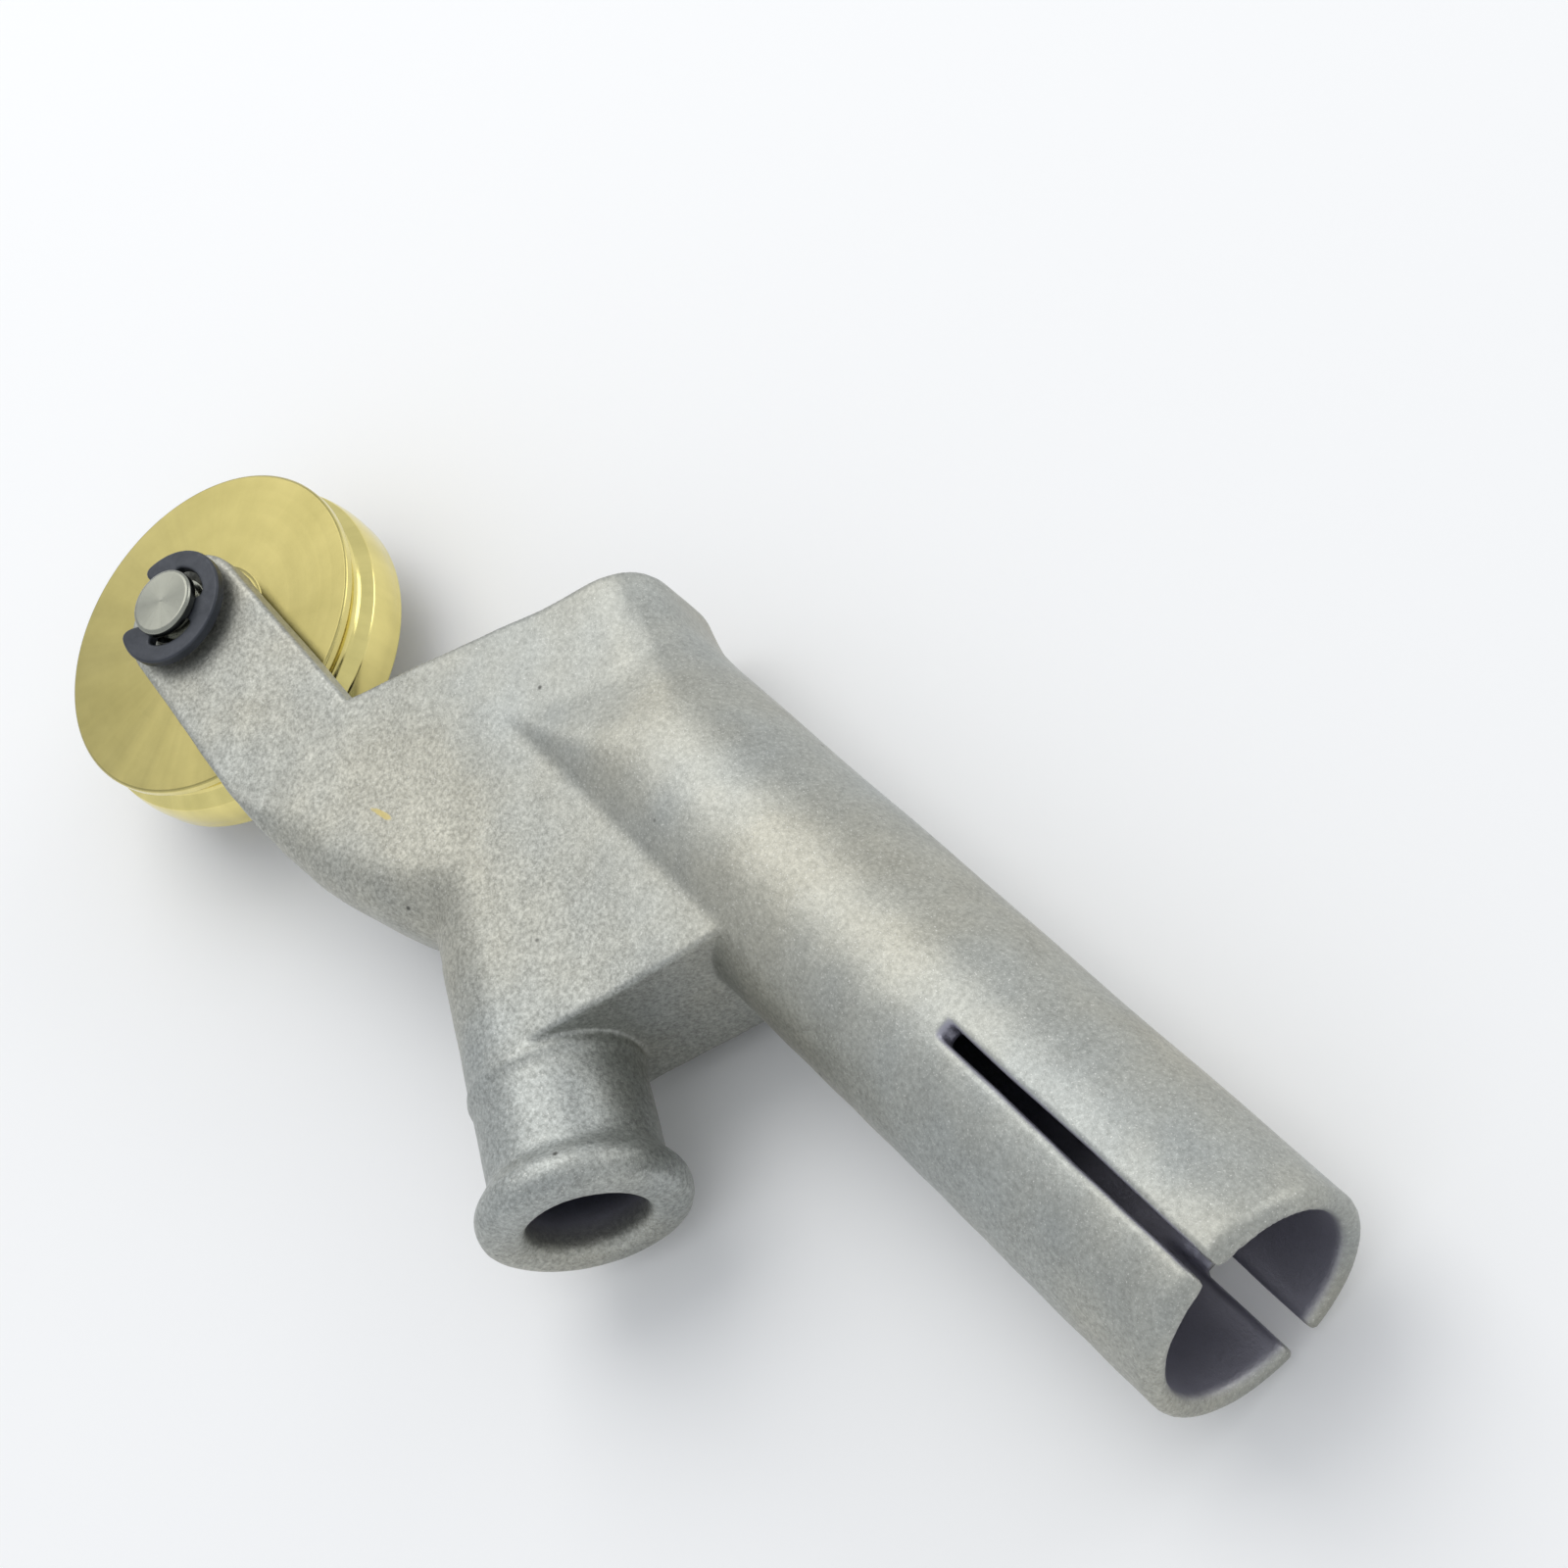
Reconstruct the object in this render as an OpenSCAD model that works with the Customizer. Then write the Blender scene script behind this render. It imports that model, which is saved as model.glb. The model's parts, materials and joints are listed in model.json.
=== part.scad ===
// Speed-welding nozzle with a pressure roller.
// The part lies on its side: X runs out of the hot-air socket's mouth, Z is the roller's axis.
// The origin is the centre of the socket's mouth. Both faces of the casting are alike.

/* [Hot-air socket] */
// Outer diameter of the socket tube
socket_od = 11.7; // [10.5:0.1:12.5]
// Bore that clamps on the hot-air tube
socket_bore = 9.6; // [8:0.1:9.8]
// Depth of the bore from the mouth
socket_depth = 34; // [24:1:36]
// Length of the clamping slot in the near face
slot_length = 16.5; // [12:0.5:20]
// Width of the clamping slot
slot_w = 1.1; // [0.8:0.1:2.5]
// Turn of the slot about the socket's axis
slot_turn = 1; // [0:1:5]
// Rounding of the mouth's outer edge
lip_round = 0.6; // [0.2:0.1:0.9]

/* [Rod feed tube] */
// Angle between the feed tube and the socket
feed_angle = 26.7; // [24:0.1:29]
// Distance of the feed mouth behind the socket's mouth
feed_back = 28.3; // [27:0.1:31]
// Distance of the feed mouth to the side of the socket's axis
feed_side = 18.8; // [17:0.1:20]
// Outer diameter of the feed tube
feed_od = 8.8; // [7.5:0.1:8.8]
// Bore for the welding rod
feed_bore = 6; // [4:0.1:6.5]
// Outer diameter of the rolled bead at the mouth
bead_od = 10.6; // [9.5:0.1:11.5]
// Length of the bead along the tube
bead_w = 2.2; // [1.6:0.1:3]

/* [Body plate] */
// Thickness of the plate between the tubes, and over both fork arms
plate_t = 8.9; // [8.8:0.1:9.6]
// Radius of the round end of each fork arm
arm_round = 3.85; // [3.4:0.05:4.2]
// Taper of the arm's edge on the nose side
arm_taper_nose = 1.9; // [0:0.1:3]
// Taper of the arm's edge on the feed side
arm_taper_feed = 4.5; // [2:0.1:5]
// Gap between the two fork arms
fork_gap = 5.4; // [5.2:0.1:5.6]
// Rounding of the plate's two blended sides
side_round = 2.7; // [1:0.1:3.5]

/* [Air nozzle] */
// Width and height of the square air duct that opens beside the roller
duct_size = 5; // [4.5:0.1:5.4]
// Slope of the ramp where the socket tube sinks into the nose
ramp_slope = 16; // [10:1:25]

/* [Pressure roller] */
// Distance of the roller's axis behind the socket's mouth
roller_back = 74; // [72:0.5:78]
// Distance of the roller's axis to the side of the socket's axis
roller_side = 12.2; // [11:0.1:13]
// Diameter of the near flange
roller_d = 20.3; // [16:0.1:20.6]
// Diameter of the far flange
far_flange_d = 20.4; // [16:0.1:20.8]
// Width of the roller between its flange faces
roller_w = 4.9; // [3.6:0.1:4.9]
// Depth of the groove between the flanges
groove_depth = 0.8; // [0.4:0.1:1.8]
// Diameter of the hub bosses that run against the arms
boss_d = 8; // [6:0.1:10]

/* [Axle and clips] */
// Diameter of the axle
axle_d = 4; // [3:0.1:4.5]
// Length of the axle
axle_length = 12.7; // [12.3:0.1:15]
// Outer diameter of each retaining clip
clip_od = 7; // [6.6:0.1:7.6]
// Thickness of each retaining clip
clip_t = 0.65; // [0.5:0.05:0.7]
// Width of the opening in each clip, as an angle
clip_opening = 66; // [50:1:80]
// Direction that the clip's opening faces
clip_facing = 209; // [0:1:359]

/* [Hidden] */
$fn = 96;

eps = 0.01;
running_gap = 0.05;     // radial clearance of the axle in the arms and in the roller
boss_gap = 0.1;         // end float between the bosses and the arms
clip_gap = 0.6;         // end float between a clip and its arm
groove_fit = 0.02;      // radial clearance of a clip's prongs in the axle's groove
axle_groove_d = 0.8 * axle_d;
half_t = plate_t / 2;
roller_at = [-roller_back, -roller_side, 0];
feed_at = [-feed_back, -feed_side, 0];
feed_dir = [cos(feed_angle), -sin(feed_angle)];
fork_root_r = 14.5;     // radius of the fork's inner end, about the roller's axis
saw_r = 20;             // radius of the saw that cuts the clamping slot

// Corners of the plate's outline
notch = arm_edge(1, arm_taper_nose, 14.3);
shoe_start = [-52.3, 1.6];
shoe_tip = [-49.4, 7.1];
nose_end = [-43, socket_od / 2 - eps];
end_face_top = [-28.5, 0];
end_face_low = on_feed(8.1);
feed_root = on_feed(17);
feed_corner = [-45.7, -14.5];
shoulder = [[-50, -16.25], [-54, -17.1], arm_edge(-1, arm_taper_feed, 16)];
ramp_foot = [-49.7, -2.6];   // where the ramp's foot meets the plate's face
ramp_turn = 53;              // direction of the ramp's foot, seen from the near face

// A point on the feed tube's axis, at a distance inwards from its mouth
function on_feed(d) = [feed_at.x, feed_at.y] - d * feed_dir;

// A point along one straight edge of the arms, measured from beside the roller's axis
function arm_edge(side, taper, along) =
    [roller_at.x, roller_at.y]
    + side * arm_round * [sin(taper), cos(taper)]
    + along * [cos(taper), -sin(taper)];

// Cylinder whose axis runs from the feed mouth into the body
module along_feed() {
    translate(feed_at)
        rotate([0, 0, -feed_angle])
            rotate([0, -90, 0])
                children();
}

// Outline of the plate, the nose and the fork arms
module plate_outline() {
    translate([roller_at.x, roller_at.y])
        circle(arm_round);
    polygon([
        arm_edge(1, arm_taper_nose, 0), notch, shoe_start, shoe_tip, nose_end, end_face_top,
        end_face_low, feed_root, feed_corner, shoulder[0], shoulder[1], shoulder[2],
        arm_edge(-1, arm_taper_feed, 0)
    ]);
}

// Takes the corner off one upper edge of the plate, from p to q, with the plate to the left
module edge_rounder(p, q) {
    run = q - p;
    translate([p.x, p.y, half_t - side_round])
        rotate([0, 0, atan2(run.y, run.x)])
            translate([-0.4, 0, 0])
                difference() {
                    translate([0, -1, 0])
                        cube([norm(run) + 0.8, side_round + 1, side_round + eps]);
                    translate([-eps, side_round, 0])
                        rotate([0, 90, 0])
                            cylinder(r = side_round, h = norm(run) + 1);
                }
}

// Does the same on both faces of the plate
module on_both_faces() {
    children();
    mirror([0, 0, 1])
        children();
}

module plate() {
    difference() {
        linear_extrude(plate_t, center = true)
            plate_outline();
        on_both_faces() {
            edge_rounder(shoulder[2], shoulder[1]);
            edge_rounder(shoulder[1], shoulder[0]);
            edge_rounder(shoulder[0], feed_corner);
            edge_rounder(nose_end, shoe_tip);
        }
    }
}

// Space above the nose: flat to the ramp's foot, then rising until it leaves the tube
module above_ramp() {
    rise = 3;
    translate([ramp_foot.x, ramp_foot.y, half_t])
        rotate([0, 0, ramp_turn])
            rotate([90, 0, 0])
                rotate([0, -90, 0])
                    linear_extrude(40, center = true)
                        polygon([[-20, 0], [0, 0], [rise / tan(ramp_slope), rise], [-20, rise]]);
}

module socket_tube() {
    r = socket_od / 2;
    difference() {
        rotate([0, -90, 0])
            rotate_extrude() {
                translate([0, lip_round])
                    square([r, 46 - lip_round]);
                square([r - lip_round, 2 * lip_round]);
                translate([r - lip_round, lip_round])
                    circle(lip_round);
            }
        on_both_faces()
            above_ramp();
    }
}

module feed_tube() {
    along_feed() {
        translate([0, 0, bead_w / 2])
            cylinder(d = feed_od, h = 22);
        rotate_extrude() {
            square([(bead_od - bead_w) / 2, bead_w]);
            translate([(bead_od - bead_w) / 2, bead_w / 2])
                circle(bead_w / 2);
        }
    }
}

// One saw cut slots both walls, so the socket can close on the tube. The saw comes down from
// the near face, so the slot is longer there than in the far wall.
module clamp_slot() {
    saw_z = 12.9;
    drop = saw_z - socket_od / 2;
    saw_x = sqrt(saw_r * saw_r - drop * drop) - slot_length;
    rotate([-slot_turn, 0, 0])
        translate([saw_x, 0, saw_z])
            rotate([90, 0, 0])
                cylinder(r = saw_r, h = slot_w, center = true);
}

module body() {
    color([0.71, 0.71, 0.69])
        difference() {
            union() {
                plate();
                socket_tube();
                feed_tube();
            }
            // Hot-air bore, and the duct from its end to the nose's underside
            translate([1, 0, 0])
                rotate([0, -90, 0])
                    cylinder(d = socket_bore, h = socket_depth + 1);
            translate([-60, -0.1 * duct_size, -duct_size / 2])
                cube([60 - socket_depth + 1, duct_size, duct_size]);
            clamp_slot();
            // Rod passage, open at both ends
            along_feed()
                translate([0, 0, -1])
                    cylinder(d = feed_bore, h = 40);
            // Fork gap and the axle's two holes
            translate(roller_at) {
                cylinder(r = fork_root_r, h = fork_gap, center = true);
                cylinder(d = axle_d + 2 * running_gap, h = plate_t + 2, center = true);
            }
        }
}

module pressure_roller() {
    r = roller_d / 2;
    far_r = far_flange_d / 2;
    low = -roller_w / 2;
    high = roller_w / 2;
    boss = fork_gap / 2 - boss_gap;
    far_w = 0.55 * roller_w;
    near_w = 0.12 * roller_w;
    bevel = 0.15;
    round_r = 0.3;
    color([0.83, 0.72, 0.36])
        translate(roller_at)
            rotate_extrude()
                difference() {
                    union() {
                        translate([0, low])
                            square([r - groove_depth, roller_w]);
                        translate([0, low])
                            square([far_r - round_r, far_w]);
                        translate([0, low + round_r])
                            square([far_r, far_w - 2 * round_r]);
                        for (h = [low + round_r, low + far_w - round_r])
                            translate([far_r - round_r, h])
                                circle(round_r);
                        polygon([
                            [0, high - near_w], [r, high - near_w], [r, high - bevel],
                            [r - bevel, high], [0, high]
                        ]);
                        translate([0, -boss])
                            square([boss_d / 2, 2 * boss]);
                    }
                    translate([-1, -roller_w])
                        square([1 + axle_d / 2 + running_gap, 2 * roller_w]);
                }
}

// The axle's outline: end chamfers, and a groove near each end for a clip
module axle() {
    r = axle_d / 2;
    end = axle_length / 2;
    chamfer = 0.3;
    low = half_t + clip_gap - 0.05;
    high = half_t + clip_gap + clip_t + 0.05;
    color([0.72, 0.71, 0.68])
        translate(roller_at)
            difference() {
                rotate_extrude()
                    polygon([
                        [0, -end], [r - chamfer, -end], [r, chamfer - end],
                        [r, end - chamfer], [r - chamfer, end], [0, end]
                    ]);
                for (side = [-1, 1])
                    translate([0, 0, side * (low + high) / 2])
                        difference() {
                            cylinder(d = axle_d + 1, h = high - low, center = true);
                            cylinder(d = axle_groove_d, h = high - low + 1, center = true);
                        }
            }
}

// A sector of the plane about the origin, centred on one direction
module sector(facing, width, reach) {
    polygon([
        [0, 0],
        reach * [cos(facing - width / 2), sin(facing - width / 2)],
        1.3 * reach * [cos(facing), sin(facing)],
        reach * [cos(facing + width / 2), sin(facing + width / 2)]
    ]);
}

// An E-shaped retaining clip: an open ring with three prongs that reach into the groove
module retaining_clip(side) {
    grip_r = axle_groove_d / 2 + groove_fit;
    ring_r = 0.68 * clip_od / 2;
    color([0.2, 0.22, 0.26])
        translate(roller_at + [0, 0, side * (half_t + clip_gap + clip_t / 2)])
            linear_extrude(clip_t, center = true)
                difference() {
                    union() {
                        difference() {
                            circle(d = clip_od);
                            circle(ring_r);
                        }
                        for (turn = [180, -clip_opening / 2 - 22, clip_opening / 2 + 22])
                            intersection() {
                                circle(ring_r + 0.3);
                                sector(clip_facing + turn, 40, clip_od);
                            }
                    }
                    circle(grip_r);
                    sector(clip_facing, clip_opening, clip_od);
                }
}

module near_clip() {
    retaining_clip(1);
}

module far_clip() {
    retaining_clip(-1);
}

body();
pressure_roller();
axle();
near_clip();
far_clip();
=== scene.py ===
import json
import math

import bpy
import numpy as np
import openvdb
from mathutils import Matrix, Vector


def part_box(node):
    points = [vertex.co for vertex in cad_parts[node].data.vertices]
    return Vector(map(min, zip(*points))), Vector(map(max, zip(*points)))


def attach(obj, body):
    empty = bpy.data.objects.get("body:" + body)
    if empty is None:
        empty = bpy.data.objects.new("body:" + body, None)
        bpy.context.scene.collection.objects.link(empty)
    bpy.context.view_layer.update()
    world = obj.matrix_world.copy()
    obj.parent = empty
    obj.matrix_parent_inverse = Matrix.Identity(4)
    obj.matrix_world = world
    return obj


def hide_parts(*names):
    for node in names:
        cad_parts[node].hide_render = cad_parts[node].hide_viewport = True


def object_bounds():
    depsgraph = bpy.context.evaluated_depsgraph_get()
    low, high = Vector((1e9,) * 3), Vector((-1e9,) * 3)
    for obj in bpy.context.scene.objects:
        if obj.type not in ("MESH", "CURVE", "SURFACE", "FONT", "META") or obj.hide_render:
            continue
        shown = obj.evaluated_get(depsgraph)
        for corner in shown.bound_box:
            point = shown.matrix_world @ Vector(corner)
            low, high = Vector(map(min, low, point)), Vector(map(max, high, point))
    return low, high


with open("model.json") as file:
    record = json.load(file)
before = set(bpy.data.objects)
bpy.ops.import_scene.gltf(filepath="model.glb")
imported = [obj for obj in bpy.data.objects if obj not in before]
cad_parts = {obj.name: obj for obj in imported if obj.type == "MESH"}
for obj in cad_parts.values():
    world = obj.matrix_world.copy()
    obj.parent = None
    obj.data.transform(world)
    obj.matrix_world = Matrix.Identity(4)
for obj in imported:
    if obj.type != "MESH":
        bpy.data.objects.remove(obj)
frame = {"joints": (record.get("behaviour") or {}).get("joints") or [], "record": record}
cad_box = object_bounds()
MM = 0.001

# ------------------------------------------------------------------ sizes from the frame
mounts = {m["name"]: m for m in frame["record"]["mounts"]}
joints = {j["name"]: j for j in frame["joints"]}


def in_mm(vector):
    return np.array(vector, float) / MM


ROLLER_AT = in_mm(joints["roller_spin"]["pos_m"])
FEED_AT = in_mm(mounts["feed_bore"]["pos_m"])
FEED_DIR = np.array(mounts["feed_bore"]["axis"], float)
FEED_BORE_R = mounts["feed_bore"]["dims"]["r_mm"]
SOCKET_BORE_R = mounts["socket_bore"]["dims"]["r_mm"]
SOCKET_DEPTH = mounts["socket_bore"]["dims"]["length_mm"]
SOCKET_R = in_mm(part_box("body")[1])[2]
ROLLER_LOW, ROLLER_HIGH = (in_mm(corner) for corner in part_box("pressure_roller"))
BOSS_TOP = ROLLER_HIGH[2]
ROLLER_TOP = BOSS_TOP - 0.15
ROLLER_R = (ROLLER_HIGH[0] - ROLLER_LOW[0]) / 2
AXLE_END = in_mm(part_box("axle")[1])[2]
AXLE_R = in_mm(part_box("axle")[1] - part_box("axle")[0])[0] / 2
CLIP_LOW, CLIP_HIGH = (in_mm(corner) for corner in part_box("near_clip"))
CLIP_R = (CLIP_HIGH[0] - CLIP_LOW[0]) / 2
FLOOR_Z = cad_box[0][2]

# ------------------------------------------------------------------ the casting's own sizes
HALF_T = 4.45          # half the plate's thickness
TUBE_RISE = 0.25       # how much more it is beside the socket tube
FEED_R = 4.4           # outer radius of the rod tube
BEAD_R = 5.3           # outer radius of the bead round its mouth
BEAD_W = 2.2           # length of the bead along the tube
ARM_R = 3.85           # round end of the fork arms
ARM_TAPER = {1: math.radians(1.9), -1: math.radians(4.5)}   # on the nose side and the rod side
FORK_GAP = 5.4         # between the two arms
FORK_ROOT_R = 14.5     # radius of the fork's inner end, about the roller's axis
SLOT_W = {1: 0.78, -1: 1.3}        # width of the clamping slot in the near and the far wall
SLOT_AT = {1: 0.08, -1: -0.18}     # how far its middle is beside the socket's axis there
SLOT_EDGE = 0.25       # rounding of the slot's inner corners
SAW_R = 20.0           # the slot's end is the arc of the saw that cut it, deeper on the near face
SAW_AT = (2.0, 12.92)  # the saw's middle, along X and Z
DUCT = 5.0             # side of the square air duct
AXLE_HOLE_R = AXLE_R + 0.05
RAMP_FOOT = np.array([-49.7, -2.6])    # where the cut that sinks the tube meets the plate's face
RAMP_TURN = math.radians(53)           # direction of that line
RAMP_SLOPE = math.radians(16)          # slope of the cut
SIDE_ROUND = 3.3       # rounding of the nose's outer side
SHOULDER_ROUND = 3.1   # rounding of the blended side between arm and rod tube
FEED_ROUND = 4.35      # rounding of the side that runs into the rod tube
EDGE_ROUND = 0.28      # all other cast edges
LIP_ROUND_FAR = 0.4    # rounding of the socket's lip at the far wall
LIP_ROUND_MORE = 0.45  # how much more it is at the near wall
TUBE_END = -56.0       # where the socket tube ends inside the nose
FEED_TUBE_MIDDLE, FEED_TUBE_HALF = 10.0, 9.0   # the rod tube's straight run, from its mouth
BEAD_BLEND = 1.1       # how widely the bead runs into the rod tube
WAVE, SWELL = 0.012, 0.02   # height of the fine and the broad unevenness of the cast surface
# How widely the casting's parts run into each other, and how much its cut edges are rounded
BLEND = {
    "end face": 0.22, "socket": 0.22, "socket at nose": 1.0, "shoe": 0.45, "ramp": 0.35,
    "rod tube": 0.08, "rod tube at end face": 1.3, "socket bore": 0.55, "duct": 0.3, "slot": 0.3,
    "rod bore": 0.8, "fork": 0.25, "axle hole": 0.15,
}
# The space searched for the casting's surface, and the spacing of the points searched
BODY_LOW, BODY_HIGH = np.array([-78.6, -23.9, -6.4]), np.array([0.8, 7.9, 6.4])
BODY_STEP = 0.22
SMEAR_AT = (-52.0, -11.65, HALF_T)   # the one scrape of brass, on the near face
SMEAR_TURN = math.radians(12)

# ------------------------------------------------------------------ the clips' own sizes
CLIP_STEP = 0.07       # spacing of the points searched for the clip's surface
CLIP_OPENING = math.radians(66)
CLIP_FACING = math.radians(209)
CLIP_RING_R = 0.68 * CLIP_R   # inside of the clip's ring
PRONG_WIDTH = math.radians(40)
PRONG_TURN = CLIP_OPENING / 2 + math.radians(22)   # from the opening to the prong beside it
CLIP_BLEND = 0.5       # how widely the prongs run into the ring, and the ends' rounding
CLIP_EDGE = 0.14       # rounding of all its edges


def arm_edge(side, along):
    taper = ARM_TAPER[side]
    across = side * ARM_R * np.array([math.sin(taper), math.cos(taper)])
    return ROLLER_AT[:2] + across + along * np.array([math.cos(taper), -math.sin(taper)])


def on_feed(inwards):
    return FEED_AT[:2] - inwards * FEED_DIR[:2]


def bend(start, pull, end, steps):
    """Points along a curve that leaves start towards pull and arrives at end."""
    t = np.linspace(0, 1, steps)[:, None]
    return list((1 - t) ** 2 * start + 2 * t * (1 - t) * pull + t**2 * end)


NOTCH = arm_edge(1, 14.3)
SHOE_START = np.array([-52.45, 1.6])
SHOE_TIP = np.array([-49.65, 7.0])
NOSE_BEND = np.array([-50.4, 7.05])
NOSE_END = np.array([-46.3, 5.5])
END_FACE_LOW = on_feed(8.15)
END_FACE_TOP = np.array([-28.5, 0.0])
FEED_OUTWARDS = np.array([FEED_DIR[1], -FEED_DIR[0]])
FEED_CORNER = np.array([-45.7, -14.5])
FEED_SIDE = [on_feed(along) + FEED_R * FEED_OUTWARDS for along in (-2, 15.5)]

# The slab between the tubes, drawn past the faces that are cut later
SLAB = [
    arm_edge(-1, 5), np.array([-66.0, -3.0]), np.array([-57.0, 7.1]), NOSE_BEND, NOSE_END,
    np.array([-25.0, -1.4]), FEED_SIDE[0], FEED_SIDE[1],
    *bend(FEED_CORNER, np.array([-52.7, -17.7]), arm_edge(-1, 15.6), 9),
]
# The fork arms, drawn into the slab
ARMS = [arm_edge(1, 0), NOTCH, np.array([-57.0, -10.5]), arm_edge(-1, 11), arm_edge(-1, 0)]


# ------------------------------------------------------------------ distance functions
def smooth_union(a, b, k):
    h = np.maximum(k - np.abs(a - b), 0) / k
    return np.minimum(a, b) - h * h * k / 4


def smooth_cut(a, tool, k):
    """The solid a with tool taken away, and the edges of the cut rounded by about k."""
    h = np.maximum(k - np.abs(a + tool), 0) / k
    return np.maximum(a, -tool) + h * h * k / 4


def step(value, low, high):
    t = np.clip((value - low) / (high - low), 0, 1)
    return t * t * (3 - 2 * t)


def rounded(a, b, r):
    """Where the two half-spaces a and b overlap, with their shared edge rounded by r."""
    u, v = a + r, b + r
    return np.minimum(np.maximum(u, v), 0) + np.hypot(np.maximum(u, 0), np.maximum(v, 0)) - r


def eased(a, b, r, power):
    """Like rounded, but for a power over 2 the rounding starts more gently."""
    u, v = a + r, b + r
    corner = (np.maximum(u, 0) ** power + np.maximum(v, 0) ** power) ** (1 / power)
    return np.minimum(np.maximum(u, v), 0) + corner - r


def polygon_distance(x, y, corners):
    """Signed distance in the plane to a closed outline, negative inside."""
    nearest = np.full(np.broadcast(x, y).shape, 1e9)
    inside = np.zeros(nearest.shape, bool)
    for p, q in zip(corners, corners[1:] + corners[:1]):
        ex, ey = q - p
        t = np.clip(((x - p[0]) * ex + (y - p[1]) * ey) / (ex * ex + ey * ey), 0, 1)
        nearest = np.minimum(nearest, (x - p[0] - t * ex) ** 2 + (y - p[1] - t * ey) ** 2)
        if ey:
            crosses = ((p[1] > y) != (q[1] > y)) & (x < p[0] + (y - p[1]) * ex / ey)
            inside ^= crosses
    return np.where(inside, -1, 1) * np.sqrt(nearest)


def left_of(x, y, start, end):
    """Distance in the plane to the left of the line from start to end, negative on its right."""
    ex, ey = (end - start) / np.hypot(*(end - start))
    return (y - start[1]) * ex - (x - start[0]) * ey


def slab(x, y, z):
    """The plate without its underside cut: round along the nose, the shoulder and the rod tube."""
    flat = polygon_distance(x, y, SLAB)
    on_shoulder = step(x, -62, -55)
    on_feed_side = step(x, -50, -44)
    low = EDGE_ROUND + (SHOULDER_ROUND - EDGE_ROUND) * on_shoulder
    low = low + (FEED_ROUND - SHOULDER_ROUND) * on_feed_side
    upper = step(y + 0.5 * (x + 50), -7, -1)
    power = 2 + 0.5 * np.maximum(upper, 1 - on_feed_side)
    rise = TUBE_RISE * step(y, -10, -3.5) * step(x, -64, -54)
    return eased(flat, np.abs(z) - HALF_T - rise, low + (SIDE_ROUND - low) * upper, power)


def past_end_face(x, y):
    return -left_of(x, y, END_FACE_LOW, END_FACE_TOP)


def below_shoe(x, y):
    """How far a point is out of the underside, which bends inwards at the shoe's start."""
    shoe = np.minimum(left_of(x, y, NOTCH, SHOE_START), left_of(x, y, SHOE_START, SHOE_TIP))
    return shoe - 0.08


def fork_arms(x, y, z):
    pin = np.hypot(x - ROLLER_AT[0], y - ROLLER_AT[1]) - ARM_R
    flat = np.minimum(polygon_distance(x, y, ARMS), pin)
    return rounded(flat, np.abs(z) - HALF_T, EDGE_ROUND)


def socket_tube(x, y, z):
    """The tube, which sinks into the nose behind a sloping cut."""
    tube = rounded(np.hypot(y, z) - SOCKET_R, x, LIP_ROUND_FAR + LIP_ROUND_MORE * step(z, -1, 3))
    tube = np.maximum(tube, TUBE_END - x)
    across = (x - RAMP_FOOT[0]) * math.sin(RAMP_TURN) - (y - RAMP_FOOT[1]) * math.cos(RAMP_TURN)
    above = (np.abs(z) - HALF_T) * math.cos(RAMP_SLOPE) - across * math.sin(RAMP_SLOPE)
    return smooth_cut(tube, -above, BLEND["ramp"])


def feed_tube(x, y, z):
    inwards, out = along_feed(x, y, z)
    tube = np.maximum(out - FEED_R, np.abs(inwards - FEED_TUBE_MIDDLE) - FEED_TUBE_HALF)
    half = BEAD_W / 2
    bead = rounded(out - BEAD_R, np.abs(inwards - half) - half, 0.98 * half)
    return smooth_union(tube, bead, BEAD_BLEND)


def along_feed(x, y, z):
    """How far a point is inside the rod tube's mouth, and how far from the tube's axis."""
    dx, dy = x - FEED_AT[0], y - FEED_AT[1]
    inwards = -(dx * FEED_DIR[0] + dy * FEED_DIR[1])
    aside = dx * FEED_DIR[1] - dy * FEED_DIR[0]
    return inwards, np.hypot(aside, z)


def clamp_slot(x, y, z):
    """One saw cut through both walls, which stand a little closer on the near side."""
    near = (z / SOCKET_R + 1) / 2
    middle = SLOT_AT[-1] + (SLOT_AT[1] - SLOT_AT[-1]) * near
    width = SLOT_W[-1] + (SLOT_W[1] - SLOT_W[-1]) * near
    disc = np.hypot(x - SAW_AT[0], z - SAW_AT[1]) - SAW_R
    return rounded(np.abs(y - middle) - width / 2, disc, SLOT_EDGE)


def air_duct(x, y, z):
    section = rounded(np.abs(y - 0.4 * DUCT) - DUCT / 2, np.abs(z) - DUCT / 2, 0.6)
    return np.maximum(section, x + SOCKET_DEPTH - 1)


def fork_gap(x, y, z):
    out = np.hypot(x - ROLLER_AT[0], y - ROLLER_AT[1])
    return np.maximum(out - FORK_ROOT_R, np.abs(z) - FORK_GAP / 2)


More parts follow.
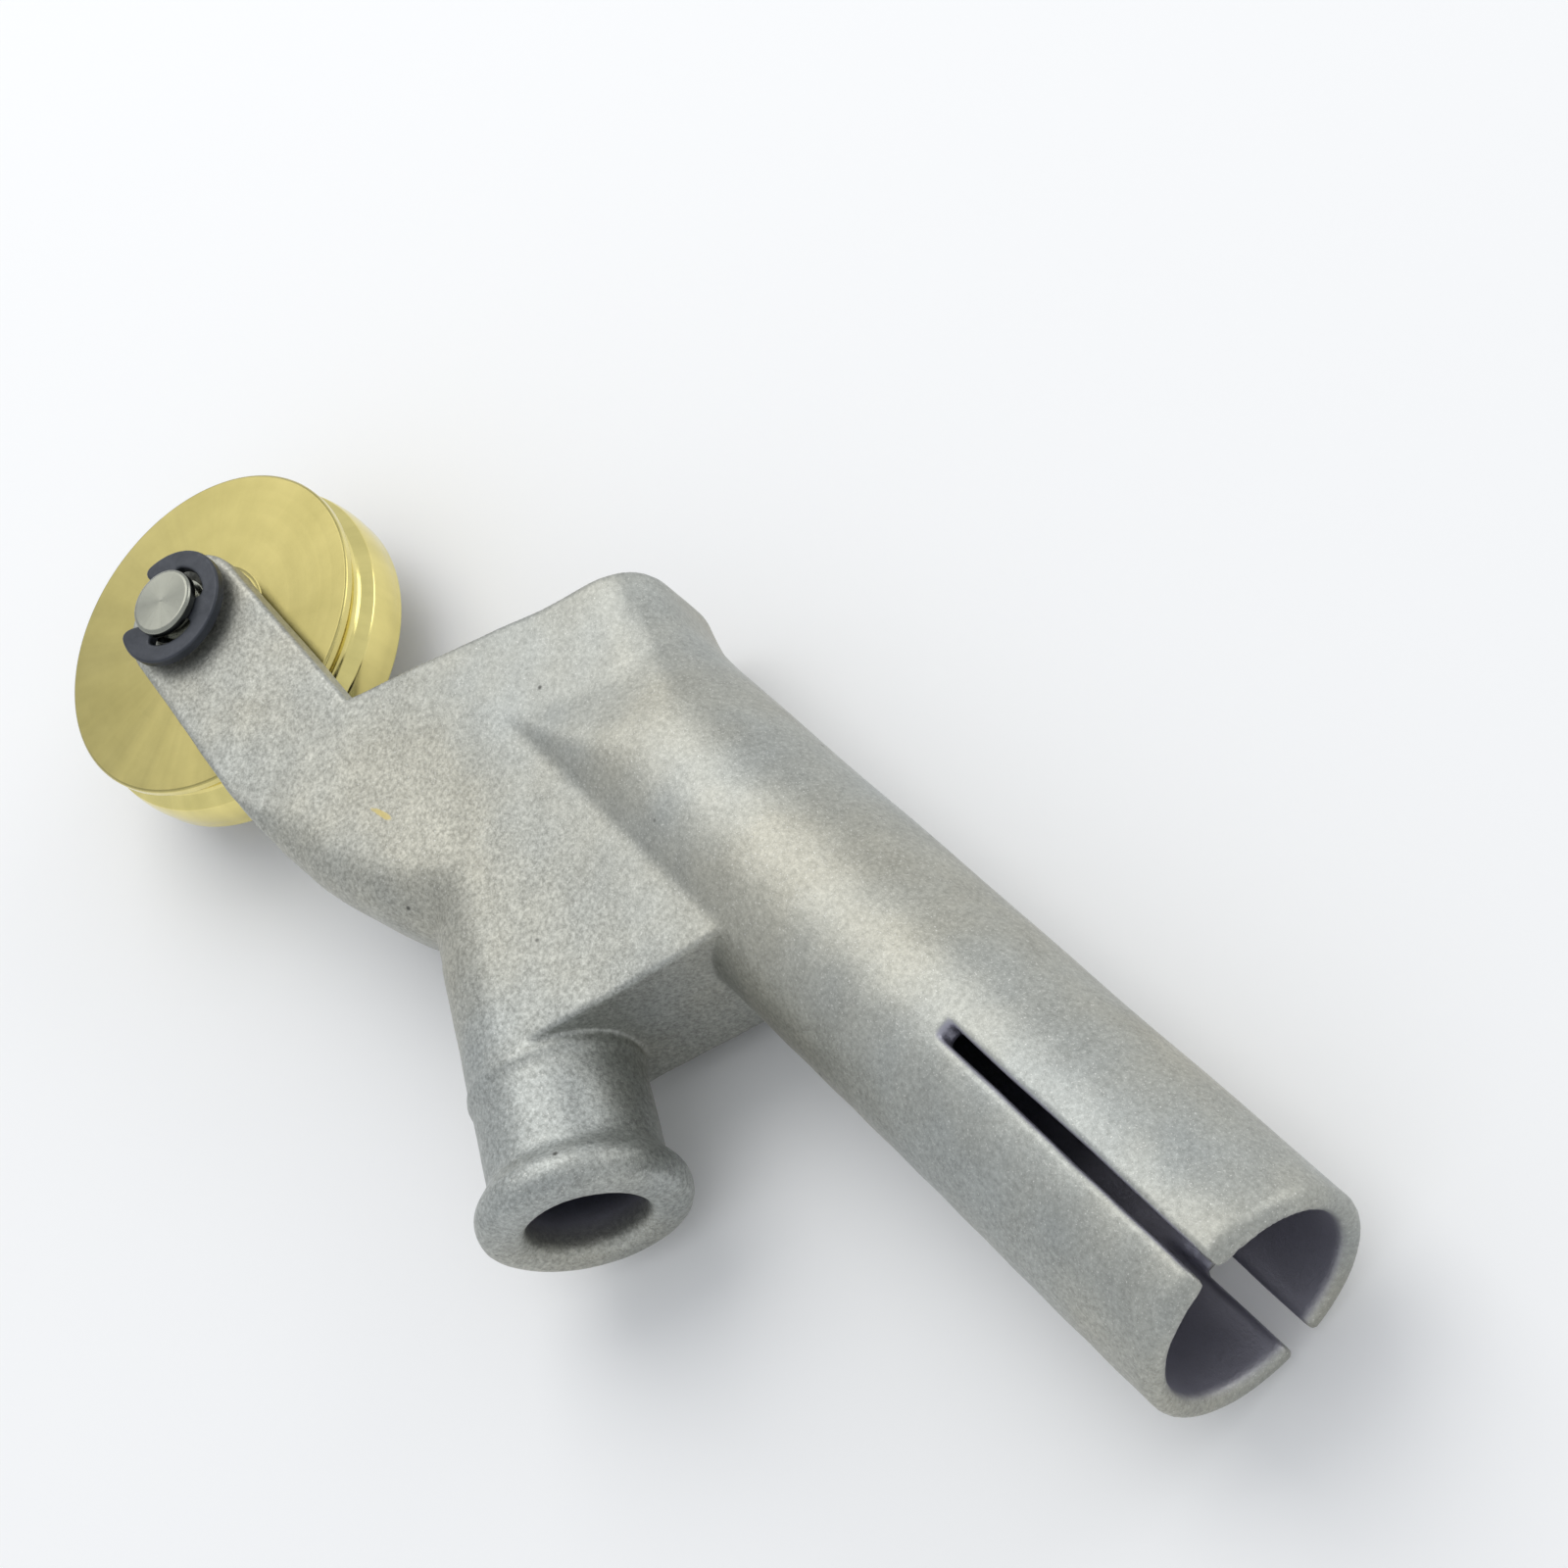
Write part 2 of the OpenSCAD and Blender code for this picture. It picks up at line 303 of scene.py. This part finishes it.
def casting(x, y, z):
    """The whole cast body. Its surface is where this is zero."""
    end_face = past_end_face(x, y)
    solid = smooth_cut(slab(x, y, z), 0.1 - end_face, BLEND["end face"])
    width = BLEND["socket"] + BLEND["socket at nose"] * step(y, 3, 6)
    solid = smooth_union(solid, socket_tube(x, y, z), width)
    solid = smooth_cut(solid, -below_shoe(x, y), BLEND["shoe"])
    solid = np.minimum(solid, fork_arms(x, y, z))
    width = BLEND["rod tube"] + BLEND["rod tube at end face"] * step(end_face, -0.2, 0.8)
    solid = smooth_union(solid, feed_tube(x, y, z), width)
    bore = np.maximum(np.hypot(y, z) - SOCKET_BORE_R, -SOCKET_DEPTH - x)
    solid = smooth_cut(solid, bore, BLEND["socket bore"])
    solid = smooth_cut(solid, air_duct(x, y, z), BLEND["duct"])
    solid = smooth_cut(solid, clamp_slot(x, y, z), BLEND["slot"])
    inwards, out = along_feed(x, y, z)
    solid = smooth_cut(solid, out - FEED_BORE_R, BLEND["rod bore"])
    solid = smooth_cut(solid, fork_gap(x, y, z), BLEND["fork"])
    pin = np.hypot(x - ROLLER_AT[0], y - ROLLER_AT[1]) - AXLE_HOLE_R
    solid = smooth_cut(solid, pin, BLEND["axle hole"])
    wave = np.sin(1.9 * x + 0.7) * np.sin(1.7 * y + 2.1) * np.sin(1.8 * z + 0.4)
    swell = np.sin(0.61 * x + 0.3) * np.sin(0.73 * y + 1.2) + np.sin(0.5 * z + 0.31 * x)
    return solid + WAVE * wave + SWELL * swell


# ------------------------------------------------------------------ meshes
def mesh_piece(name, points, faces, body, at=(0, 0, 0)):
    """A smooth-shaded piece made from points in millimetres about the point at."""
    mesh = bpy.data.meshes.new(name)
    mesh.from_pydata((np.asarray(points) * MM).tolist(), [], faces)
    mesh.shade_smooth()
    mesh.validate()
    piece = bpy.data.objects.new(name, mesh)
    bpy.context.scene.collection.objects.link(piece)
    piece.location = Vector(at) * MM
    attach(piece, body)
    return piece


def surface_of(distance, low, high, voxel):
    """Quads on the zero surface of a distance function, with each point moved onto it."""
    sizes = np.ceil((np.asarray(high) - low) / voxel).astype(int) + 1
    x, y, z = (low[i] + voxel * np.arange(sizes[i]) for i in range(3))
    values = distance(x[:, None, None], y[None, :, None], z[None, None, :])
    grid = openvdb.FloatGrid(background=10.0)
    grid.copyFromArray(np.clip(values, -10, 10).astype(np.float32))
    points, quads = grid.convertToQuads(isovalue=0.0)
    points = np.asarray(low) + voxel * points.astype(float)
    probe = 0.1 * voxel
    for _ in range(4):
        here = distance(*points.T)
        slope = np.stack([
            (distance(*(points + probe * axis).T) - distance(*(points - probe * axis).T))
            / (2 * probe) for axis in np.eye(3)
        ], axis=1)
        scale = np.maximum((slope**2).sum(1), 0.25)
        points -= np.clip(here / scale, -voxel, voxel)[:, None] * slope
    corner = points[quads[:, 0]]
    normal = np.cross(points[quads[:, 1]] - corner, points[quads[:, 3]] - corner)
    if (normal * slope[quads[:, 0]]).sum() < 0:
        quads = quads[:, ::-1]
    return points, quads.tolist()


def with_supports(profile, close=0.04):
    """The profile with points close to both ends of its long runs, so that they shade flat."""
    points = np.asarray(profile, float)
    kept = []
    for p, q in zip(points, np.roll(points, -1, axis=0)):
        kept.append(p)
        length = np.hypot(*(q - p))
        if length > 8 * close:
            kept += [p + (q - p) * close / length, q - (q - p) * close / length]
    return kept


def lathe(profile, turns):
    """Points and faces of a closed profile of (radius, height) turned about Z."""
    profile = np.asarray(with_supports(profile))
    angle = 2 * math.pi * np.arange(turns) / turns
    ring = np.stack([np.cos(angle), np.sin(angle)], axis=1)
    rows = [
        np.column_stack([r * ring, np.full(turns, h)]) for r, h in profile
    ]
    count = len(profile)
    faces = [
        (a * turns + i, a * turns + (i + 1) % turns,
         b * turns + (i + 1) % turns, b * turns + i)
        for a, b in zip(range(count), [*range(1, count), 0]) for i in range(turns)
    ]
    return np.concatenate(rows), faces


def arc(centre, r, start, end, steps):
    angles = np.radians(np.linspace(start, end, steps))
    return [(centre[0] + r * math.cos(a), centre[1] + r * math.sin(a)) for a in angles]


# ------------------------------------------------------------------ materials
def material(name):
    """A new material with its shader and a short way to add linked nodes."""
    made = bpy.data.materials.new(name)
    made.use_nodes = True
    tree = made.node_tree
    shader = tree.nodes["Principled BSDF"]

    def add(kind, settings=None, **inputs):
        node = tree.nodes.new(kind)
        for key, value in (settings or {}).items():
            setattr(node, key, value)
        for key, value in inputs.items():
            socket = node.inputs[int(key[1:])] if key[1:].isdigit() else node.inputs[key]
            if isinstance(value, bpy.types.NodeSocket):
                tree.links.new(value, socket)
            else:
                socket.default_value = value
        return node

    return made, shader, tree, add


def noise(add, place, scale, detail, roughness):
    node = add("ShaderNodeTexNoise", Vector=place, Scale=scale, Detail=detail, Roughness=roughness)
    return node.outputs["Fac"]


def ramp(add, value, *stops):
    """A colour ramp over value, from (position, colour) stops."""
    node = add("ShaderNodeValToRGB", Fac=value)
    band = node.color_ramp
    while len(band.elements) < len(stops):
        band.elements.new(0.5)
    for element, (position, colour) in zip(band.elements, stops):
        element.position = position
        element.color = (*colour, 1) if len(colour) == 3 else colour
    return node.outputs["Color"]


def grey(level):
    return (level, level, level)


def blend_colours(add, kind, amount, a, b):
    node = add("ShaderNodeMix", {"data_type": "RGBA", "blend_type": kind}, _0=amount, _6=a, _7=b)
    return node.outputs[2]


def between(add, value, low, high, to_low, to_high):
    node = add("ShaderNodeMapRange", _0=value, _1=low, _2=high, _3=to_low, _4=to_high)
    return node.outputs[0]


# Colour of the painted glints on the cast steel.
PAINTED_GLINT_COLOUR = (0.75, 0.75, 0.71, 1)
PIT_COLOUR = (0.05, 0.05, 0.045, 1)
BRASS_SCRAPE = (0.52, 0.43, 0.17, 1)
# Colours of the painted shade inside the bores and the slot: the first for light shade, the second
# for deep shade.
LIGHT_BORE_SHADE = (0.37, 0.365, 0.42, 1)
DEEP_BORE_SHADE = (0.10, 0.105, 0.145, 1)


def cast_steel():
    """Bead-blasted cast steel: fine grain with painted glints, faint patches, a few pits, painted
    shade in the bores and the slot.
    """
    made, shader, tree, add = material("cast_steel")
    place = add("ShaderNodeTexCoord").outputs["Object"]
    sparkle = noise(add, place, 9000, 2.0, 0.8)
    grain = noise(add, place, 4200, 3.0, 0.7)
    patches = noise(add, place, 420, 4.0, 0.6)
    tint = noise(add, place, 90, 3.0, 0.5)
    split = add("ShaderNodeSeparateXYZ", Vector=place)
    contrast = between(add, split.outputs[1], -8 * MM, -3 * MM, 1.25, 0.7)
    level = add("ShaderNodeMath", {"operation": "SUBTRACT"}, _0=grain, _1=0.5)
    level = add("ShaderNodeMath", {"operation": "MULTIPLY_ADD"},
                _0=level.outputs[0], _1=contrast, _2=0.5)
    base = ramp(add, level.outputs[0], (0.3, (0.28, 0.284, 0.264)), (0.5, (0.38, 0.384, 0.36)),
                (0.72, (0.50, 0.505, 0.475)))
    warm = ramp(add, tint, (0.35, (0.97, 1.0, 1.02)), (0.65, (1.04, 1.01, 0.93)))
    base = blend_colours(add, "MULTIPLY", 1.0, base, warm)
    mottle = ramp(add, patches, (0.3, grey(0.92)), (0.7, grey(1.06)))
    base = blend_colours(add, "MULTIPLY", 1.0, base, mottle)
    # Painted glints: bright specks mixed into the colour where the fine noise peaks.
    painted_glint = between(add, sparkle, 0.60, 0.72, 0.0, 0.7)
    base = blend_colours(add, "MIX", painted_glint, base, PAINTED_GLINT_COLOUR)
    cells = add("ShaderNodeTexVoronoi", Vector=place, Scale=260.0)
    pit = between(add, cells.outputs["Distance"], 0.02, 0.045, 0.8, 0.0)
    base = blend_colours(add, "MIX", pit, base, PIT_COLOUR)
    base = blend_colours(add, "MIX", brass_smear(add, place), base, BRASS_SCRAPE)
    # Painted shade in the bores and the slot, read from the attribute bore: light shade first, then
    # deep shade.
    bore = add("ShaderNodeAttribute", {"attribute_name": "bore"}).outputs["Fac"]
    light_shade = between(add, bore, 0.0, 0.5, 0.0, 1.0)
    base = blend_colours(add, "MIX", light_shade, base, LIGHT_BORE_SHADE)
    deep_shade = between(add, bore, 0.5, 1.0, 0.0, 1.0)
    base = blend_colours(add, "MIX", deep_shade, base, DEEP_BORE_SHADE)
    shader.inputs["Metallic"].default_value = 0.9
    tree.links.new(base, shader.inputs["Base Color"])
    tree.links.new(between(add, sparkle, 0.3, 0.7, 0.42, 0.56), shader.inputs["Roughness"])
    height = add("ShaderNodeMath", {"operation": "MULTIPLY_ADD"}, _0=sparkle, _1=0.4, _2=grain)
    bump = add("ShaderNodeBump", Strength=0.5, Distance=0.00003, Height=height.outputs[0])
    tree.links.new(bump.outputs[0], shader.inputs["Normal"])
    return made


def brass_smear(add, place):
    """A mask for the one short scrape of brass on the near face, below the notch."""
    ragged = noise(add, place, 1500, 3.0, 0.6)
    moved = add("ShaderNodeVectorMath", {"operation": "SUBTRACT"},
                _0=place, _1=Vector(SMEAR_AT) * MM)
    turned = add("ShaderNodeVectorRotate", {"rotation_type": "Z_AXIS"},
                 Vector=moved.outputs[0], Angle=-SMEAR_TURN)
    half = Vector((0.9, 0.2, 1.0)) * MM
    scaled = add("ShaderNodeVectorMath", {"operation": "DIVIDE"}, _0=turned.outputs[0], _1=half)
    reach = add("ShaderNodeVectorMath", {"operation": "LENGTH"}, _0=scaled.outputs[0])
    edge = add("ShaderNodeMath", {"operation": "ADD"}, _0=reach.outputs["Value"], _1=ragged)
    return between(add, edge.outputs[0], 1.25, 1.5, 0.85, 0.0)


def turned_metal(name, colours, rough, ring_scale, anisotropy, face_z, rim_highlight_gain):
    """Lathe-turned metal: faint rings round the piece's own axis, and soft streaks across them that
    vary the roughness and paint lighter and darker sectors of reflection into the colour.

    Between its end faces, at the height face_z, it is smoother, and its colour is made lighter by
    the gain given last, as a painted highlight.
    """
    made, shader, tree, add = material(name)
    place = add("ShaderNodeTexCoord").outputs["Object"]
    split = add("ShaderNodeSeparateXYZ", Vector=place)
    flat = add("ShaderNodeCombineXYZ", X=split.outputs[0], Y=split.outputs[1])
    radius = add("ShaderNodeVectorMath", {"operation": "LENGTH"}, _0=flat.outputs[0])
    rings_at = add("ShaderNodeCombineXYZ", X=radius.outputs["Value"], Y=split.outputs[2])
    rings = noise(add, rings_at.outputs[0], ring_scale, 3.0, 0.7)
    outwards = add("ShaderNodeVectorMath", {"operation": "NORMALIZE"}, _0=flat.outputs[0])
    streaks = noise(add, outwards.outputs[0], 5.0, 5.0, 0.65)
    cloud = noise(add, place, 260, 4.0, 0.6)
    base = ramp(add, cloud, (0.3, colours[0]), (0.7, colours[1]))
    # Painted reflection: the streaks make lighter and darker sectors round the axis in the colour.
    shade = ramp(add, streaks, (0.35, grey(0.95)), (0.65, grey(1.05)))
    base = blend_colours(add, "MULTIPLY", 1.0, base, shade)
    height = add("ShaderNodeMath", {"operation": "ABSOLUTE"}, _0=split.outputs[2])
    # Painted highlight: between the end faces the colour is made lighter by the gain given last;
    # the same mask also lowers the roughness there.
    rim = between(add, height.outputs[0], (face_z - 0.15) * MM, (face_z - 0.02) * MM, 1.0, 0.0)
    base = blend_colours(add, "MULTIPLY", rim, base, (rim_highlight_gain, rim_highlight_gain, rim_highlight_gain, 1))
    tree.links.new(base, shader.inputs["Base Color"])
    mixed = add("ShaderNodeMath", {"operation": "MULTIPLY_ADD"}, _0=rings, _1=0.4, _2=streaks)
    ground = between(add, mixed.outputs[0], 0.5, 0.9, rough[0], rough[1])
    smoother = add("ShaderNodeMath", {"operation": "MULTIPLY"},
                   _0=ground, _1=between(add, rim, 0.0, 1.0, 1.0, 0.5))
    tree.links.new(smoother.outputs[0], shader.inputs["Roughness"])
    shader.inputs["Metallic"].default_value = 1.0
    shader.inputs["Anisotropic"].default_value = anisotropy
    tangent = add("ShaderNodeTangent", {"direction_type": "RADIAL", "axis": "Z"})
    tree.links.new(tangent.outputs[0], shader.inputs["Tangent"])
    bump = add("ShaderNodeBump", Strength=0.25, Distance=0.000006, Height=rings)
    tree.links.new(bump.outputs[0], shader.inputs["Normal"])
    return made


def blackened_steel():
    """Blackened spring steel: near black with a blue cast, slightly worn."""
    made, shader, tree, add = material("dark_spring_steel")
    place = add("ShaderNodeTexCoord").outputs["Object"]
    cloud = noise(add, place, 500, 4.0, 0.6)
    grain = noise(add, place, 3000, 2.0, 0.6)
    base = ramp(add, cloud, (0.3, (0.022, 0.026, 0.034)), (0.7, (0.045, 0.05, 0.062)))
    tree.links.new(base, shader.inputs["Base Color"])
    tree.links.new(between(add, grain, 0.3, 0.7, 0.32, 0.5), shader.inputs["Roughness"])
    shader.inputs["Metallic"].default_value = 0.4
    bump = add("ShaderNodeBump", Strength=0.3, Distance=0.00003, Height=grain)
    tree.links.new(bump.outputs[0], shader.inputs["Normal"])
    return made


# ------------------------------------------------------------------ pieces
def build_body():
    """The casting, with how deep the painted shade is on each point inside its bores and slot: 0.5
    is light and 1 is deep.
    """
    points, quads = surface_of(casting, BODY_LOW, BODY_HIGH, BODY_STEP)
    piece = mesh_piece("cast_body", points, quads, "nozzle")
    x, y, z = points.T
    inwards, out = along_feed(x, y, z)
    # Painted shade: the further a point lies inside the rod bore, the socket bore or the slot, the
    # darker it is painted.
    feed_bore_shade = 0.95 * step(inwards, 0.5, 3.0) * step(FEED_BORE_R + 0.5 - out, 0.0, 0.5)
    socket_bore_shade = (0.5 + 0.4 * step(-x, 6, 28)) * (np.hypot(y, z) < SOCKET_BORE_R + 0.3)
    socket_bore_shade = socket_bore_shade * (x > -SOCKET_DEPTH) * step(-x, 0.0, 0.6)
    slot_shade = 0.5 * (clamp_slot(x, y, z) < 0.1) * step(-x, 0.3, 1.5)
    scale = np.maximum.reduce([feed_bore_shade, socket_bore_shade, slot_shade])
    bore = piece.data.attributes.new("bore", "FLOAT", "POINT")
    bore.data.foreach_set("value", scale.astype(np.float32))
    piece.data.materials.append(cast_steel())
    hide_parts("body")


def build_roller():
    """A narrow near rim, a shallow groove, a wide crowned far rim and a boss on each side."""
    top, boss = ROLLER_TOP, BOSS_TOP
    near_r, far_r = ROLLER_R - 0.25, ROLLER_R
    bore = AXLE_R + 0.05
    boss_r = 4.0
    crown_r = 5.5
    groove_at, groove_r = (9.95, 1.0), 0.62
    bevel = 0.12
    profile = [
        (bore, -boss), (boss_r - 0.15, -boss), (boss_r, -boss + 0.1), (boss_r + 0.05, -top),
        (far_r - 0.3, -top),
        *arc((far_r - 0.25, -top + 0.22), 0.22, -80, 0, 6),
        *arc((far_r - crown_r + 0.04, -1.1), crown_r, -8, 13, 14),
        *arc(groove_at, groove_r, 225, 135, 10),
        (near_r - 0.1, 1.83), (near_r, 1.95), (near_r, top - bevel), (near_r - bevel, top),
        (boss_r + 0.05, top), (boss_r, boss - 0.1), (boss_r - 0.15, boss), (bore, boss),
    ]
    points, faces = lathe(profile, 256)
    piece = mesh_piece("brass_roller", points, faces, "roller", ROLLER_AT)
    # The last number paints the tread between the end faces 1.95 times as light, a painted
    # highlight.
    brass = turned_metal(
        "brass", ((0.35, 0.305, 0.115), (0.42, 0.365, 0.145)), (0.28, 0.40), 2600, 0.4, top, 1.95)
    piece.data.materials.append(brass)
    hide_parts("pressure_roller")


def build_axle():
    """A turned pin with a small chamfer at each end and a groove for each clip."""
    groove_r = 0.8 * AXLE_R
    low, high = CLIP_LOW[2] - 0.05, CLIP_HIGH[2] + 0.05
    end = AXLE_END
    half = [
        (AXLE_R, low), (groove_r, low), (groove_r, high), (AXLE_R, high),
        (AXLE_R, end - 0.2), (AXLE_R - 0.06, end - 0.06), (AXLE_R - 0.2, end),
        (0.02, end),
    ]
    profile = [(r, -h) for r, h in reversed(half)] + half
    points, faces = lathe(profile, 128)
    piece = mesh_piece("axle_pin", points, faces, "axle", ROLLER_AT)
    steel = turned_metal(
        "bright_steel", ((0.27, 0.275, 0.235), (0.33, 0.335, 0.29)), (0.26, 0.4), 5200, 0.65,
        AXLE_END, 1.0)
    piece.data.materials.append(steel)
    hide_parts("axle")


def clip_distance(x, y, z):
    """An E-shaped clip about the origin, lying in the plane, open towards CLIP_FACING."""
    out = np.hypot(x, y)
    turn = np.arctan2(y, x) - CLIP_FACING
    away = np.arctan2(np.sin(turn), np.cos(turn))
    ring = np.abs(out - (CLIP_R + CLIP_RING_R) / 2) - (CLIP_R - CLIP_RING_R) / 2
    prong = np.full(out.shape, 1e9)
    for centre in (math.pi, PRONG_TURN, -PRONG_TURN):
        gap = np.arctan2(np.sin(away - centre), np.cos(away - centre))
        prong = np.minimum(prong, (np.abs(gap) - PRONG_WIDTH / 2) * out)
    prong = np.maximum(prong, out - CLIP_RING_R - 0.3)
    flat = smooth_union(ring, prong, CLIP_BLEND)
    flat = smooth_cut(flat, out - 0.8 * AXLE_R - 0.02, 0.15)
    flat = smooth_cut(flat, (np.abs(away) - CLIP_OPENING / 2) * out, CLIP_BLEND)
    return rounded(flat, np.abs(z) - (CLIP_HIGH[2] - CLIP_LOW[2]) / 2, CLIP_EDGE)


def build_clips():
    reach = CLIP_R + 0.2
    points, quads = surface_of(
        clip_distance, np.array([-reach, -reach, -0.6]), np.array([reach, reach, 0.6]), CLIP_STEP)
    dark = blackened_steel()
    height = (CLIP_HIGH[2] + CLIP_LOW[2]) / 2
    for name, node, side in (("clip_near", "near_clip", 1), ("clip_far", "far_clip", -1)):
        at = ROLLER_AT + np.array([0, 0, side * height])
        piece = mesh_piece(name, points, quads, "axle", at)
        piece.data.materials.append(dark)
        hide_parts(node)


build_body()
build_roller()
build_axle()
build_clips()


# ------------------------------------------------------------------ floor, light and camera
def build_floor():
    made, shader, tree, add = material("pale_floor")
    place = add("ShaderNodeTexCoord").outputs["Object"]
    cloud = noise(add, place, 3, 2.0, 0.5)
    tree.links.new(ramp(add, cloud, (0.3, grey(0.86)), (0.7, grey(0.88))),
                   shader.inputs["Base Color"])
    shader.inputs["Roughness"].default_value = 0.9
    shader.inputs["Specular IOR Level"].default_value = 0.1
    half = 3.0
    mesh = bpy.data.meshes.new("floor")
    mesh.from_pydata(
        [(-half, -half, FLOOR_Z), (half, -half, FLOOR_Z), (half, half, FLOOR_Z),
         (-half, half, FLOOR_Z)], [], [(0, 1, 2, 3)])
    floor = bpy.data.objects.new("floor", mesh)
    floor.data.materials.append(made)
    bpy.context.scene.collection.objects.link(floor)


def soft_light(name, at, size, watts, colour):
    """A square area light that shines from at towards the middle of the object."""
    middle = Vector((-0.04, -0.008, 0))
    lamp = bpy.data.lights.new(name, "AREA")
    lamp.shape = "SQUARE"
    lamp.size = size
    lamp.energy = watts
    lamp.color = colour
    holder = bpy.data.objects.new(name, lamp)
    holder.location = at
    holder.rotation_euler = (middle - Vector(at)).to_track_quat("-Z", "Y").to_euler()
    bpy.context.scene.collection.objects.link(holder)


def build_light():
    world = bpy.data.worlds.new("studio")
    world.use_nodes = True
    background = world.node_tree.nodes["Background"]
    background.inputs["Color"].default_value = (0.93, 0.96, 1.0, 1)
    background.inputs["Strength"].default_value = 0.8
    bpy.context.scene.world = world
    soft_light("overhead", (-0.32, 0.10, 0.43), 0.44, 1.1, (1.0, 0.98, 0.95))
    soft_light("side", (0.02, 0.55, 0.16), 0.34, 0.6, (1.0, 0.99, 0.97))


def build_camera():
    """The camera stands out past the socket's mouth and looks back down on the near face."""
    data = bpy.data.cameras.new("camera")
    data.sensor_width = 36.0
    data.lens = 63.69
    data.shift_x = -0.0021
    data.shift_y = -0.0084
    data.clip_start = 0.01
    camera = bpy.data.objects.new("camera", data)
    right = Vector((0.58432, 0.64272, -0.49546))
    down = Vector((0.51833, -0.76535, -0.38154))
    away = Vector((-0.62443, -0.03387, -0.78035))
    turn = Matrix((right, -down, -away)).transposed()
    camera.matrix_world = Matrix.Translation((0.04801, 0.00826, 0.10619)) @ turn.to_4x4()
    bpy.context.scene.collection.objects.link(camera)
    bpy.context.scene.camera = camera


build_floor()
build_light()
build_camera()
bpy.context.scene.view_settings.view_transform = "Standard"
